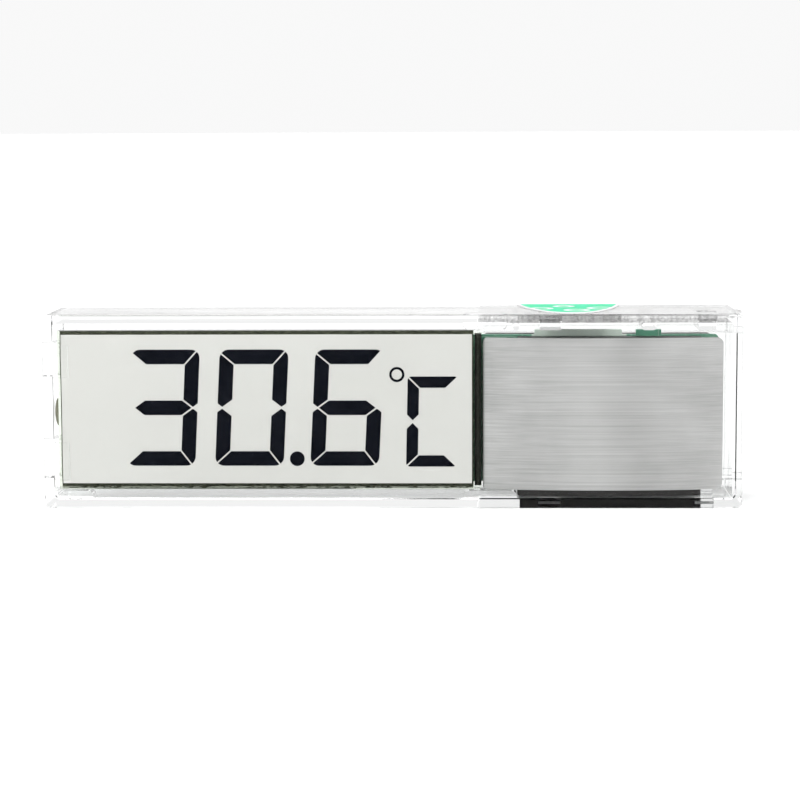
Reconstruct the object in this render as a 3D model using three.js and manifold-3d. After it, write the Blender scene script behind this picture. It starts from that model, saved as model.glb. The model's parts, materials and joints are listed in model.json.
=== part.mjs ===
// Stick-on digital aquarium thermometer in a clear moulded case.
// Millimetres, +Z up. The window faces -Y, the side that sticks to the tank glass faces +Y, and +X is to
// the right as the display is read. The origin is under the middle of the case, on the face it stands on.

import * as THREE from 'three';
import { mergeVertices } from 'three/addons/utils/BufferGeometryUtils.js';
import Module from 'manifold-3d';

const wasm = await Module();
wasm.setup();

// ---------------------------------------------------------------------------------------------------------
// Driving dimensions
// ---------------------------------------------------------------------------------------------------------

// Outer case: a shallow tray, open at the back.
const CASE = { left: -37.5, right: 36.7, front: -6.4, rim: 4.1, height: 20.7, wall: 1.0, window: 1.6 };
const CASE_CORNER = 0.6;
const CASE_EDGE = 0.25;
const SEAM = 0.03;

// Back cover: an inset lid behind the display, and a thicker battery module on the right.
const LID = { inner: 2.6, gap: 0.1 };
const MODULE = { left: 8.7, back: 6.1 };
const GLASS_PLANE = 6.4;

// Snap hooks of the back cover, and the windows in the case walls that they catch in.
const HOOK = { arm: 0.75, barb: 0.45, barbLength: 1.6, barbInset: 0.35, barbFlat: 0.3, clearance: 0.12 };
const END_HOOKS = [{ from: 2.9, to: 6.9 }, { from: 13.9, to: 17.3 }];
const SIDE_HOOKS = [{ from: 15.3, to: 17.5 }, { from: 32.1, to: 33.9 }];
const END_HOOK_FRONT = -1.4;
const TOP_HOOK_FRONT = -4.2;
const BOTTOM_HOOK_FRONT = -1.6;

// Pins on the back cover that run forward over the top of the board and the face plate.
const LOCATING_PINS = [{ x: 12.8, halfWidth: 0.4 }, { x: 26.9, halfWidth: 0.8 }];
const PIN = { front: -3.6, bottom: 18.8, top: 19.58, edge: 0.38 };

// Display: a liquid crystal cell of two glasses between two polarising films.
const LCD = { left: -36.06, right: 8.3, bottom: 1.87, top: 18.88, face: -4.45 };
const LCD_LEDGE = 0.85;
const FILM = { thickness: 0.18, insetX: 0.4, insetTop: 0.42, insetBottom: 0.65, insetRight: 0.2 };
const GLASS = 0.65;
const CELL_GAP = 0.02;
const END_SEAL = { width: 0.36, height: 3.0, centre: 10.2, depth: 0.9 };
const REST_PAD = { reach: 1.6, thickness: 0.3 };
const LEDGE = { leftEnd: -32.4, rightStart: 7.2, floorRightEnd: 12.9, roofRightEnd: 11.8, back: -2.9,
  clearance: 0.12, floorRadius: 0.6, roofRadius: 0.4 };
const CUSHION = { xs: [-29, -6], width: 3, height: 12, thickness: 0.6, clearance: 0.06 };

// Electronics.
const BOARD = { left: 6.6, right: 34.4, bottom: 2.4, top: 18.2, front: -1.9, thickness: 0.8, corner: 0.4 };
const BOARD_TABS = { spans: [[14.8, 24.1], [25.6, 28.3]], top: 18.72 };
const ZEBRA = { left: 8.38, right: 9.12, bottom: 2.2, top: 18.4 };
const CHIP = { x: 21, z: 10.6, radius: 2.7, height: 0.8 };
const CRYSTAL = { x: 27.4, z: 12.6, radius: 0.6, length: 4.6 };
const CHIP_PART = { length: 1.6, width: 0.8, height: 0.55 };
const CAPACITORS = [[16.2, 13.2], [16.2, 11.2], [27.2, 9.4]];
const RESISTORS = [[16.2, 8.2], [16.2, 6.2]];
const SCREW = {
  shank: 0.6, head: 1.25, headHeight: 0.5, headEdge: 0.2, length: 4.0, point: 0.5, clearance: 0.12,
};
const SCREW_SLOT = { reach: 0.88, halfWidth: 0.16, depth: 0.22 };
const SCREW_ROOM = 0.3;
const SCREW_PLACES = [[11.1, 3.9], [33.0, 15.9]];

// Brushed face plate, bowed towards the window, and the carrier behind it.
const PLATE = { left: 9.25, right: 34.8, bottom: 1.76, top: 18.02, ends: -3.5, bow: 1.2, thickness: 0.4 };
const PLATE_CORNER_LEFT = 0.45;
const PLATE_CORNER_RIGHT = 0.7;
const CARRIER = { left: 12.95, right: 32.5, bottom: 1.08, top: 18.05, rim: 1.8, clearance: 0.06 };

// Battery bay: two 11.6 x 5.4 button cells side by side.
const CELL = { radius: 5.8, height: 5.4, capRadius: 4.9, capHeight: 0.5, edge: 0.3 };
const CELL_BACK = 5.22;
const CELL_PITCH = 12.3;
const TRAY = {
  left: 9.0, right: 34.5, bottom: 1.95, top: 17.9, front: -1.05, floor: 0.4, back: 4.05, corner: 1.0,
};
// A foot along the tray's bottom edge drops behind the rim of the case.
const FOOT = { left: 13.3, right: 33.0, front: 4.13, back: 4.9, bottom: 0.04, top: 2.6, gap: 0.08 };
const WELL_RADIUS = 5.97;
const TAIL_SLOT = { from: -5.0, to: -4.2, halfHeight: 1.6 };
const STRIP = 0.2;
const LEAF = {
  tail: -4.8, bend: 1.5, shoulder: 1.6, end: 2.2, flat: 0.3, halfHeight: 1.4, standoff: 0.06, gap: 0.04,
};
const CAP_STEP = { out: 0.15, rise: 0.12 };

// The bay in the back cover that the tray and the cells sit in.
const BAY = { side: 0.15, roof: 0.1, insetLeft: 0.6, insetRight: 0.4, overWell: 0.25 };

// Sliding battery cover with a finger lip round the right end of the case.
const COVER = { left: 9.3, bottom: 2.75, top: 17.95, inner: 5.3, tongue: 0.7, tongueThickness: 0.4 };
const COVER_TRAVEL_END = 36.75;
const LIP = {
  thickness: 0.75, front: 3.1, bottom: 0.5, top: 20.2, chamfer: 0.35, roundDepth: 1.3, roundWidth: 0.7,
};
const TONGUE_SHORT = 0.1;
const BRIDGE = { halfLength: 8.2, halfHeight: 1.6, side: 0.1, room: 0.08, gap: 0.02 };
const GRIP = { count: 4, pitch: 1.5, width: 0.6, height: 0.25, first: 29.6, length: 9 };
const RAIL_GAP = 0.06;

// Temperature sensor in a steel cap that reaches the tank glass.
const SENSOR = { x: 2.5, z: 10.35, radius: 3.8, wall: 0.3, flange: 4.4, flangeThickness: 0.26, edge: 0.4 };
const BOSS = { radius: 4.9, back: 5.9, gap: 0.08, recess: 0.32 };
const BEAD = { radius: 1.1, y: 4.3 };
const LEAD = { radius: 0.2, spread: 0.5, fromX: 7.5, hole: 0.3, bendY: 1.2 };

// Adhesive pad and labels.
const PAD = { left: -34, right: -4.5, bottom: 2.8, top: 17.9, corner: 1.2 };
const LINER = 0.12;
const STICKER = {
  x: 18.7, halfWidth: 6.1, halfLength: 20, tip: 0.3, thickness: 0.08, fold: 1.6, lift: 0.02, steps: 24,
};

const ROUND = 32;
const SMALL_ROUND = 16;
const BOW_STEPS = 16;
const CUT = 1;
const MERGE_TOLERANCE = 1e-4;

const middleZ = (TRAY.bottom + TRAY.top) / 2;
const middleX = (TRAY.left + TRAY.right) / 2;

// ---------------------------------------------------------------------------------------------------------
// Materials
// ---------------------------------------------------------------------------------------------------------

function finish(color, roughness, metalness, opacity = 1) {
  return new THREE.MeshStandardMaterial({ color, roughness, metalness, opacity, transparent: opacity < 1 });
}

const clearPlastic = finish(0xf4f6f6, 0.08, 0, 0.3);
const displayGlass = finish(0xe8eee8, 0.05, 0, 0.35);
const polariser = finish(0xd9dbd2, 0.35, 0);
const reflector = finish(0xc9cbc6, 0.4, 0.3);
const resin = finish(0x9a9a80, 0.4, 0);
const brushedPlate = finish(0xb9bab8, 0.35, 1);
const blackPlastic = finish(0x141414, 0.55, 0);
const boardGreen = finish(0x1c5a3c, 0.5, 0);
const blackRubber = finish(0x18181a, 0.8, 0);
const blackResin = finish(0x0c0c0c, 0.35, 0);
const ceramicTan = finish(0xb08d62, 0.5, 0);
const ceramicBlack = finish(0x202020, 0.5, 0);
const bareSteel = finish(0xc8cacc, 0.25, 1);
const tinnedWire = finish(0xb4b6b8, 0.35, 1);
const greyFoam = finish(0x3c3c3e, 0.95, 0);
const whiteFoam = finish(0xe6e6e2, 0.95, 0);
const linerPaper = finish(0xf2efe0, 0.7, 0);
const stickerGreen = finish(0x3ceba0, 0.5, 0);

// ---------------------------------------------------------------------------------------------------------
// Shape helpers
// ---------------------------------------------------------------------------------------------------------

// A block between two corners.
function block([x0, x1], [y0, y1], [z0, z1]) {
  return new THREE.BoxGeometry(x1 - x0, y1 - y0, z1 - z0)
    .translate((x0 + x1) / 2, (y0 + y1) / 2, (z0 + z1) / 2);
}

// A rectangle with a radius for each end, left and right.
function roundedRectangle([x0, x1], [y0, y1], leftRadius, rightRadius = leftRadius) {
  const outline = new THREE.Shape();
  outline.moveTo(x0 + leftRadius, y0);
  outline.lineTo(x1 - rightRadius, y0);
  outline.absarc(x1 - rightRadius, y0 + rightRadius, rightRadius, -Math.PI / 2, 0);
  outline.lineTo(x1, y1 - rightRadius);
  outline.absarc(x1 - rightRadius, y1 - rightRadius, rightRadius, 0, Math.PI / 2);
  outline.lineTo(x0 + leftRadius, y1);
  outline.absarc(x0 + leftRadius, y1 - leftRadius, leftRadius, Math.PI / 2, Math.PI);
  outline.lineTo(x0, y0 + leftRadius);
  outline.absarc(x0 + leftRadius, y0 + leftRadius, leftRadius, Math.PI, Math.PI * 1.5);
  return outline;
}

// An outline drawn in X and Z, given a thickness in Y.
function slab(outline, [y0, y1], bevel = 0) {
  const options = { depth: y1 - y0 - 2 * bevel, curveSegments: 5, bevelEnabled: bevel > 0 };
  if (bevel > 0) {
    const edge = { bevelThickness: bevel, bevelSize: bevel, bevelOffset: -bevel, bevelSegments: 2 };
    Object.assign(options, edge);
  }
  return new THREE.ExtrudeGeometry(outline, options).rotateX(Math.PI / 2).translate(0, y1 - bevel, 0);
}

// An outline drawn in X and Y, given a height in Z.
function prism(outline, [z0, z1], curveSegments = 8) {
  return new THREE.ExtrudeGeometry(outline, { depth: z1 - z0, curveSegments, bevelEnabled: false })
    .translate(0, 0, z0);
}

// A round bar along Y.
function barY(radius, [y0, y1], x, z, segments = SMALL_ROUND) {
  return new THREE.CylinderGeometry(radius, radius, y1 - y0, segments).translate(x, (y0 + y1) / 2, z);
}

// A turned shape round the Y axis: the profile is a list of [radius, y].
function turnedY(profile, x, z, segments = ROUND) {
  const points = profile.map(([radius, y]) => new THREE.Vector2(radius, y));
  return new THREE.LatheGeometry(points, segments).translate(x, 0, z);
}

function toSolid(geometry) {
  const bare = geometry.clone();
  bare.deleteAttribute('normal');
  bare.deleteAttribute('uv');
  const merged = mergeVertices(bare, MERGE_TOLERANCE);
  return new wasm.Manifold(new wasm.Mesh({
    numProp: 3,
    vertProperties: Float32Array.from(merged.attributes.position.array),
    triVerts: Uint32Array.from(merged.index.array),
  }));
}

function toGeometry(solid) {
  const mesh = solid.getMesh();
  const geometry = new THREE.BufferGeometry();
  geometry.setAttribute('position', new THREE.BufferAttribute(Float32Array.from(mesh.vertProperties), 3));
  geometry.setIndex(new THREE.BufferAttribute(Uint32Array.from(mesh.triVerts), 1));
  geometry.computeVertexNormals();
  return geometry;
}

// The first shapes joined, less the second ones.
function carve(joined, cuts = []) {
  let solid = toSolid(joined[0]);
  for (const geometry of joined.slice(1)) {
    solid = solid.add(toSolid(geometry));
  }
  for (const geometry of cuts) {
    solid = solid.subtract(toSolid(geometry));
  }
  return toGeometry(solid);
}

function piece(parent, name, geometry, material) {
  const mesh = new THREE.Mesh(geometry, material);
  mesh.name = name;
  parent.add(mesh);
  return mesh;
}

// ---------------------------------------------------------------------------------------------------------
// Clear case and back cover
// ---------------------------------------------------------------------------------------------------------

const cavity = {
  x: [CASE.left + CASE.wall, CASE.right - CASE.wall],
  z: [CASE.wall, CASE.height - CASE.wall],
  front: CASE.front + CASE.window,
};

// Where a hook barb sits, from its arm's front end.
function barbSpan(armFront) {
  return [armFront + HOOK.barbInset, armFront + HOOK.barbInset + HOOK.barbLength];
}

function grown([from, to], by) {
  return [from - by, to + by];
}

// Windows through the case walls for the six barbs.
function snapWindows() {
  const cuts = [];
  for (const hook of END_HOOKS) {
    const across = grown([hook.from, hook.to], HOOK.clearance);
    const along = grown(barbSpan(END_HOOK_FRONT), HOOK.clearance);
    cuts.push(block([CASE.left - CUT, cavity.x[0] + HOOK.clearance], along, across));
  }
  for (const hook of SIDE_HOOKS) {
    const across = grown([hook.from, hook.to], HOOK.clearance);
    const above = grown(barbSpan(TOP_HOOK_FRONT), HOOK.clearance);
    const below = grown(barbSpan(BOTTOM_HOOK_FRONT), HOOK.clearance);
    cuts.push(block(across, above, [cavity.z[1] - HOOK.clearance, CASE.height + CUT]));
    cuts.push(block(across, below, [-CUT, cavity.z[0] + HOOK.clearance]));
  }
  return cuts;
}

// A ledge with round ends on the floor or under the roof, which the display's edge rests on.
function displayLedge([x0, x1], [z0, z1], radius) {
  return slab(roundedRectangle([x0, x1], [z0, z1], radius), [cavity.front - CUT / 2, LEDGE.back]);
}

function frontCase() {
  const outline = roundedRectangle([CASE.left, CASE.right], [0, CASE.height], CASE_CORNER);
  const outer = slab(outline, [CASE.front, CASE.rim - SEAM], CASE_EDGE);
  const hollow = slab(roundedRectangle(cavity.x, cavity.z, CASE_EDGE), [cavity.front, CASE.rim + CUT]);
  const shell = carve([outer], [hollow, ...snapWindows()]);

  const floorSpan = [CASE.wall / 2, LCD.bottom - LEDGE.clearance];
  const roofSpan = [LCD.top + LEDGE.clearance, CASE.height - CASE.wall / 2];
  const ledges = [
    displayLedge([cavity.x[0] - CASE.wall / 2, LEDGE.leftEnd], floorSpan, LEDGE.floorRadius),
    displayLedge([LEDGE.rightStart, LEDGE.floorRightEnd], floorSpan, LEDGE.floorRadius),
    displayLedge([LEDGE.rightStart, LEDGE.roofRightEnd], roofSpan, LEDGE.roofRadius),
  ];
  const restPads = END_HOOKS.map(({ from, to }) => block(
    [cavity.x[0] - CASE.wall / 2, cavity.x[0] + REST_PAD.reach],
    [cavity.front - CUT / 2, cavity.front + REST_PAD.thickness], [from, to]));
  return carve([shell, ...ledges, ...restPads]);
}

// Arm and barb of one hook at the left end.
function endHook({ from, to }) {
  const outside = cavity.x[0] + LID.gap;
  const [barbFront, barbBack] = barbSpan(END_HOOK_FRONT);
  const outline = new THREE.Shape();
  outline.moveTo(outside + HOOK.arm, LID.inner + CUT);
  outline.lineTo(outside + HOOK.arm, END_HOOK_FRONT);
  outline.lineTo(outside, END_HOOK_FRONT);
  outline.lineTo(outside, barbFront);
  outline.lineTo(outside - HOOK.barb, barbBack - HOOK.barbFlat);
  outline.lineTo(outside - HOOK.barb, barbBack);
  outline.lineTo(outside, barbBack);
  outline.lineTo(outside, LID.inner + CUT);
  return prism(outline, [from, to]);
}

// Arms and barbs of one hook on the roof and one on the floor.
function sideHooks({ from, to }) {
  const roof = cavity.z[1] - LID.gap;
  const floor = cavity.z[0] + LID.gap;
  const above = barbSpan(TOP_HOOK_FRONT);
  const below = barbSpan(BOTTOM_HOOK_FRONT);
  return [
    block([from, to], [TOP_HOOK_FRONT, LID.inner + CUT], [roof - HOOK.arm, roof]),
    block([from, to], above, [roof - CUT / 2, roof + HOOK.barb]),
    block([from, to], [BOTTOM_HOOK_FRONT, LID.inner + CUT], [floor, floor + HOOK.arm]),
    block([from, to], below, [floor - HOOK.barb, floor + CUT / 2]),
  ];
}

// Ribs that press the display forward through its two foam cushions.
function displayRibs() {
  const stack = 2 * FILM.thickness + 2 * GLASS + 4 * CELL_GAP + CUSHION.thickness;
  const front = LCD.face + stack + CUSHION.clearance;
  return CUSHION.xs.map((x) => block(
    [x - CUSHION.width / 2, x + CUSHION.width / 2], [front, LID.inner + CUT / 2],
    [middleZ - CUSHION.height / 2, middleZ + CUSHION.height / 2]));
}

const lidX = [cavity.x[0] + LID.gap, cavity.x[1] - LID.gap];
const lidZ = [cavity.z[0] + LID.gap, cavity.z[1] - LID.gap];

function backCover() {
  const moduleOutline = roundedRectangle([MODULE.left, CASE.right], [0, CASE.height], CASE_CORNER);
  const joined = [
    slab(roundedRectangle(lidX, lidZ, CASE_EDGE), [LID.inner, CASE.rim]),
    slab(moduleOutline, [CASE.rim, MODULE.back], CASE_EDGE),
    barY(BOSS.radius, [CASE.rim - CUT, BOSS.back], SENSOR.x, SENSOR.z, ROUND),
    ...LOCATING_PINS.map(({ x, halfWidth }) => slab(
      roundedRectangle([x - halfWidth, x + halfWidth], [PIN.bottom, PIN.top], PIN.edge),
      [PIN.front, LID.inner + CUT])),
    ...END_HOOKS.map(endHook),
    ...SIDE_HOOKS.flatMap(sideHooks),
    ...displayRibs(),
  ];
  const tongueBack = COVER.inner + COVER.tongueThickness;
  const cuts = [
    block([TRAY.left - BAY.side, CASE.right - CASE.wall + CUT], [LID.inner - CUT, CASE.rim],
      grown([TRAY.bottom, TRAY.top], BAY.roof)),
    block([TRAY.left + BAY.insetLeft, TRAY.right - BAY.insetRight], [CASE.rim - CUT, MODULE.back + CUT],
      grown([middleZ - WELL_RADIUS, middleZ + WELL_RADIUS], BAY.overWell)),
    block(grown([FOOT.left, FOOT.right], FOOT.gap), [CASE.rim, FOOT.back + FOOT.gap],
      [-CUT, FOOT.top + FOOT.gap]),
    block([COVER.left - RAIL_GAP, CASE.right + CUT], [COVER.inner - RAIL_GAP, tongueBack + RAIL_GAP],
      [COVER.bottom - COVER.tongue - RAIL_GAP, COVER.top + COVER.tongue + RAIL_GAP]),
    block([COVER.left - RAIL_GAP, CASE.right + CUT], [COVER.inner - RAIL_GAP, MODULE.back + CUT],
      [COVER.bottom - RAIL_GAP, COVER.top + RAIL_GAP]),
    barY(SENSOR.radius + BOSS.gap, [LID.inner - CUT, GLASS_PLANE + CUT], SENSOR.x, SENSOR.z, ROUND),
    barY(SENSOR.flange + BOSS.gap, [LID.inner - CUT, LID.inner + BOSS.recess], SENSOR.x, SENSOR.z, ROUND),
  ];
  return carve(joined, cuts);
}

// ---------------------------------------------------------------------------------------------------------
// Battery cover
// ---------------------------------------------------------------------------------------------------------

const bridgeSpan = {
  x: [middleX - BRIDGE.halfLength, middleX + BRIDGE.halfLength],
  z: [middleZ - BRIDGE.halfHeight, middleZ + BRIDGE.halfHeight],
};

function lipOutline() {
  const right = COVER_TRAVEL_END + LIP.thickness;
  const outline = new THREE.Shape();
  outline.moveTo(COVER_TRAVEL_END, LIP.front);
  outline.lineTo(right - LIP.chamfer, LIP.front);
  outline.lineTo(right, LIP.front + LIP.chamfer);
  outline.lineTo(right, MODULE.back - LIP.roundDepth);
  outline.quadraticCurveTo(right, MODULE.back, right - LIP.roundWidth, MODULE.back);
  outline.lineTo(COVER_TRAVEL_END, MODULE.back);
  return outline;
}

function batteryCover() {
  const ribs = [];
  for (let index = 0; index < GRIP.count; index += 1) {
    const x = GRIP.first + index * GRIP.pitch;
    ribs.push(block([x - GRIP.width / 2, x + GRIP.width / 2],
      [MODULE.back - GRIP.height, MODULE.back + GRIP.height],
      [middleZ - GRIP.length / 2, middleZ + GRIP.length / 2]));
  }
  const joined = [
    block([COVER.left, COVER_TRAVEL_END + LIP.chamfer], [COVER.inner, MODULE.back],
      [COVER.bottom, COVER.top]),
    block([COVER.left, CASE.right - TONGUE_SHORT], [COVER.inner, COVER.inner + COVER.tongueThickness],
      [COVER.bottom - COVER.tongue, COVER.top + COVER.tongue]),
    prism(lipOutline(), [LIP.bottom, LIP.top]),
    ...ribs,
  ];
  const recess = block(grown(bridgeSpan.x, BRIDGE.side),
    [COVER.inner - CUT, COVER.inner + STRIP + BRIDGE.room], grown(bridgeSpan.z, BRIDGE.side));
  return carve(joined, [recess]);
}

// ---------------------------------------------------------------------------------------------------------
// Display
// ---------------------------------------------------------------------------------------------------------

const lcdZ = [LCD.bottom, LCD.top];
const filmX = [LCD.left + FILM.insetX, LCD.right - FILM.insetRight];
const filmZ = [LCD.bottom + FILM.insetBottom, LCD.top - FILM.insetTop];

// Front and back faces of each layer, from the window inwards.
const frontFilmY = [LCD.face, LCD.face + FILM.thickness];
const frontGlassY = [frontFilmY[1] + CELL_GAP, frontFilmY[1] + CELL_GAP + GLASS];
const rearGlassY = [frontGlassY[1] + CELL_GAP, frontGlassY[1] + CELL_GAP + GLASS];
const rearFilmY = [rearGlassY[1] + CELL_GAP, rearGlassY[1] + CELL_GAP + FILM.thickness];

function endSeal() {
  const outline = new THREE.Shape();
  const edge = LCD.left - CELL_GAP;
  const halfHeight = END_SEAL.height / 2;
  outline.moveTo(edge, END_SEAL.centre + halfHeight);
  outline.absellipse(edge, END_SEAL.centre, END_SEAL.width, halfHeight, Math.PI / 2, Math.PI * 1.5);
  return slab(outline, grown([frontGlassY[1], frontGlassY[1]], END_SEAL.depth / 2));
}

function displayPieces(parent) {
  piece(parent, 'lcd_front_polariser', block(filmX, frontFilmY, filmZ), polariser);
  const frontGlass = block([LCD.left, LCD.right + LCD_LEDGE], frontGlassY, lcdZ);
  piece(parent, 'lcd_front_glass', frontGlass, displayGlass);
  piece(parent, 'lcd_rear_glass', block([LCD.left, LCD.right], rearGlassY, lcdZ), displayGlass);
  piece(parent, 'lcd_rear_reflector', block(filmX, rearFilmY, filmZ), reflector);
  piece(parent, 'lcd_end_seal', endSeal(), resin);
  piece(parent, 'zebra_connector', block([ZEBRA.left, ZEBRA.right], [frontGlassY[1] + CELL_GAP,
    BOARD.front - CELL_GAP], [ZEBRA.bottom, ZEBRA.top]), blackRubber);
  CUSHION.xs.forEach((x, index) => {
    const depth = [rearFilmY[1] + CELL_GAP, rearFilmY[1] + CELL_GAP + CUSHION.thickness];
    piece(parent, `lcd_cushion_${index + 1}`, block([x - CUSHION.width / 2, x + CUSHION.width / 2], depth,
      [middleZ - CUSHION.height / 2, middleZ + CUSHION.height / 2]), greyFoam);
  });
}

// ---------------------------------------------------------------------------------------------------------
// Face plate and its carrier
// ---------------------------------------------------------------------------------------------------------

// Y of the plate's front face: a shallow circular bow between its two ends.
function bowDepth(x) {
  const half = (PLATE.right - PLATE.left) / 2;
  const radius = (half * half + PLATE.bow * PLATE.bow) / (2 * PLATE.bow);
  const fromMiddle = x - (PLATE.left + PLATE.right) / 2;
  return PLATE.ends + radius - PLATE.bow - Math.sqrt(radius * radius - fromMiddle * fromMiddle);
}

// A strip in plan whose front follows the bow, offset backwards, and whose back is flat or follows it too.
function bowedOutline([x0, x1], frontOffset, backLine) {
  const outline = new THREE.Shape();
  for (let step = 0; step <= BOW_STEPS; step += 1) {
    const x = x0 + (x1 - x0) * step / BOW_STEPS;
    const y = bowDepth(x) + frontOffset;
    if (step === 0) {
      outline.moveTo(x, y);
    } else {
      outline.lineTo(x, y);
    }
  }
  for (let step = BOW_STEPS; step >= 0; step -= 1) {
    const x = x0 + (x1 - x0) * step / BOW_STEPS;
    outline.lineTo(x, backLine(x));
  }
  return outline;
}

function facePlate() {
  const bowed = prism(bowedOutline([PLATE.left, PLATE.right], 0, (x) => bowDepth(x) + PLATE.thickness),
    [PLATE.bottom, PLATE.top]);
  const rounded = slab(roundedRectangle([PLATE.left, PLATE.right], [PLATE.bottom, PLATE.top],
    PLATE_CORNER_LEFT, PLATE_CORNER_RIGHT), [CASE.front, CASE.rim]);
  return toGeometry(toSolid(bowed).intersect(toSolid(rounded)));
}

function plateCarrier() {
  const x = [CARRIER.left, CARRIER.right];
  const z = [CARRIER.bottom, CARRIER.top];
  const back = BOARD.front - CARRIER.clearance;
  const body = prism(bowedOutline(x, PLATE.thickness + CARRIER.clearance, () => back), z);
  const opening = block([x[0] + CARRIER.rim, x[1] - CARRIER.rim], [CASE.front, CASE.rim],
    [PLATE.bottom + CARRIER.rim, z[1] - CARRIER.rim]);
  const screwRooms = SCREW_PLACES.map(([screwX, screwZ]) => barY(SCREW.head + SCREW_ROOM,
    [CASE.front, CASE.rim], screwX, screwZ));
  return carve([body], [opening, ...screwRooms]);
}

// ---------------------------------------------------------------------------------------------------------
// Electronics
// ---------------------------------------------------------------------------------------------------------

const boardBack = BOARD.front + BOARD.thickness;
const leadZ = [SENSOR.z - LEAD.spread, SENSOR.z + LEAD.spread];

function mainBoard() {
  const body = slab(roundedRectangle([BOARD.left, BOARD.right], [BOARD.bottom, BOARD.top], BOARD.corner),
    [BOARD.front, boardBack]);
  const tabs = BOARD_TABS.spans.map((span) => block(span, [BOARD.front, boardBack],
    [BOARD.top - CUT, BOARD_TABS.top]));
  const through = [BOARD.front - CUT, boardBack + CUT];
  const holes = SCREW_PLACES.map(([x, z]) => barY(SCREW.shank + SCREW.clearance, through, x, z));
  const leadHoles = leadZ.map((z) => barY(LEAD.hole, through, LEAD.fromX, z, SMALL_ROUND / 2));
  return carve([body, ...tabs], [...holes, ...leadHoles]);
}

function chipPart([x, z]) {
  return block([x - CHIP_PART.length / 2, x + CHIP_PART.length / 2],
    [BOARD.front - CELL_GAP - CHIP_PART.height, BOARD.front - CELL_GAP],
    [z - CHIP_PART.width / 2, z + CHIP_PART.width / 2]);
}

// A drop of resin over the bare chip: a shallow dome, flat on the board.
function chipBlob() {
  const base = BOARD.front - CELL_GAP;
  const profile = [[0, base]];
  const rings = 5;
  for (let ring = 0; ring <= rings; ring += 1) {
    const angle = Math.PI / 2 * ring / rings;
    profile.push([CHIP.radius * Math.cos(angle), base - CHIP.height * Math.sin(angle)]);
  }
  profile[profile.length - 1][0] = 0;
  return turnedY(profile.reverse(), CHIP.x, CHIP.z, SMALL_ROUND);
}

function boardScrew([x, z]) {
  const seat = BOARD.front - CELL_GAP;
  const top = seat - SCREW.headHeight;
  const profile = [
    [0, top],
    [SCREW.head - SCREW.headEdge, top],
    [SCREW.head, top + SCREW.headEdge],
    [SCREW.head, seat],
    [SCREW.shank, seat],
    [SCREW.shank, seat + SCREW.length - SCREW.point],
    [0, seat + SCREW.length],
  ];
  const cutDepth = [top - CUT, top + SCREW_SLOT.depth];
  const slot = block(grown([x, x], SCREW_SLOT.reach), cutDepth, grown([z, z], SCREW_SLOT.halfWidth));
  const crossSlot = block(grown([x, x], SCREW_SLOT.halfWidth), cutDepth, grown([z, z], SCREW_SLOT.reach));
  return carve([turnedY(profile, x, z, SMALL_ROUND)], [slot, crossSlot]);
}

// One wire of the sensor: out of the board, along behind the display, and into the cap.
function sensorLead(z) {
  const path = new THREE.CatmullRomCurve3([
    new THREE.Vector3(LEAD.fromX, BOARD.front - 0.3, z),
    new THREE.Vector3(LEAD.fromX, LEAD.bendY - 1, z),
    new THREE.Vector3(LEAD.fromX - 1, LEAD.bendY, z),
    new THREE.Vector3(SENSOR.x + 1, LEAD.bendY + 0.1, z),
    new THREE.Vector3(SENSOR.x, LEAD.bendY + 1, z),
    new THREE.Vector3(SENSOR.x, BEAD.y - BEAD.radius - 0.1, z),
  ], false, 'centripetal');
  const section = new THREE.Shape();
  section.absarc(0, 0, LEAD.radius, 0, Math.PI * 2);
  const options = { steps: 20, curveSegments: 4, extrudePath: path, bevelEnabled: false };
  return new THREE.ExtrudeGeometry(section, options);
}

function electronicsPieces(parent) {
  piece(parent, 'main_board', mainBoard(), boardGreen);
  piece(parent, 'chip_blob', chipBlob(), blackResin);
  const crystal = new THREE.CylinderGeometry(CRYSTAL.radius, CRYSTAL.radius, CRYSTAL.length, SMALL_ROUND);
  const crystalMesh = piece(parent, 'watch_crystal', crystal, bareSteel);
  crystalMesh.rotation.z = Math.PI / 2;
  crystalMesh.position.set(CRYSTAL.x, BOARD.front - CRYSTAL.radius - 0.05, CRYSTAL.z);
  CAPACITORS.forEach((place, index) => {
    piece(parent, `capacitor_${index + 1}`, chipPart(place), ceramicTan);
  });
  RESISTORS.forEach((place, index) => {
    piece(parent, `resistor_${index + 1}`, chipPart(place), ceramicBlack);
  });
  SCREW_PLACES.forEach((place, index) => {
    piece(parent, `board_screw_${index + 1}`, boardScrew(place), bareSteel);
  });
}

// ---------------------------------------------------------------------------------------------------------
// Sensor
// ---------------------------------------------------------------------------------------------------------

function sensorCap() {
  const inside = SENSOR.radius - SENSOR.wall;
  const flangeBack = LID.inner + SENSOR.flangeThickness;
  const profile = [
    [0, GLASS_PLANE],
    [SENSOR.radius - SENSOR.edge, GLASS_PLANE],
    [SENSOR.radius - SENSOR.edge * 0.3, GLASS_PLANE - SENSOR.edge * 0.3],
    [SENSOR.radius, GLASS_PLANE - SENSOR.edge],
    [SENSOR.radius, flangeBack],
    [SENSOR.flange, flangeBack],
    [SENSOR.flange, LID.inner],
    [inside, LID.inner],
    [inside, GLASS_PLANE - 2 * SENSOR.wall],
    [inside - SENSOR.wall, GLASS_PLANE - SENSOR.wall],
    [0, GLASS_PLANE - SENSOR.wall],
  ];
  return turnedY(profile.reverse(), SENSOR.x, SENSOR.z);
}

function sensorPieces(parent) {
  piece(parent, 'sensor_cap', sensorCap(), bareSteel);
  const bead = new THREE.SphereGeometry(BEAD.radius, SMALL_ROUND, 10);
  const beadMesh = piece(parent, 'thermistor_bead', bead, blackResin);
  beadMesh.position.set(SENSOR.x, BEAD.y, SENSOR.z);
  leadZ.forEach((z, index) => piece(parent, `thermistor_lead_${index + 1}`, sensorLead(z), tinnedWire));
}

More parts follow.
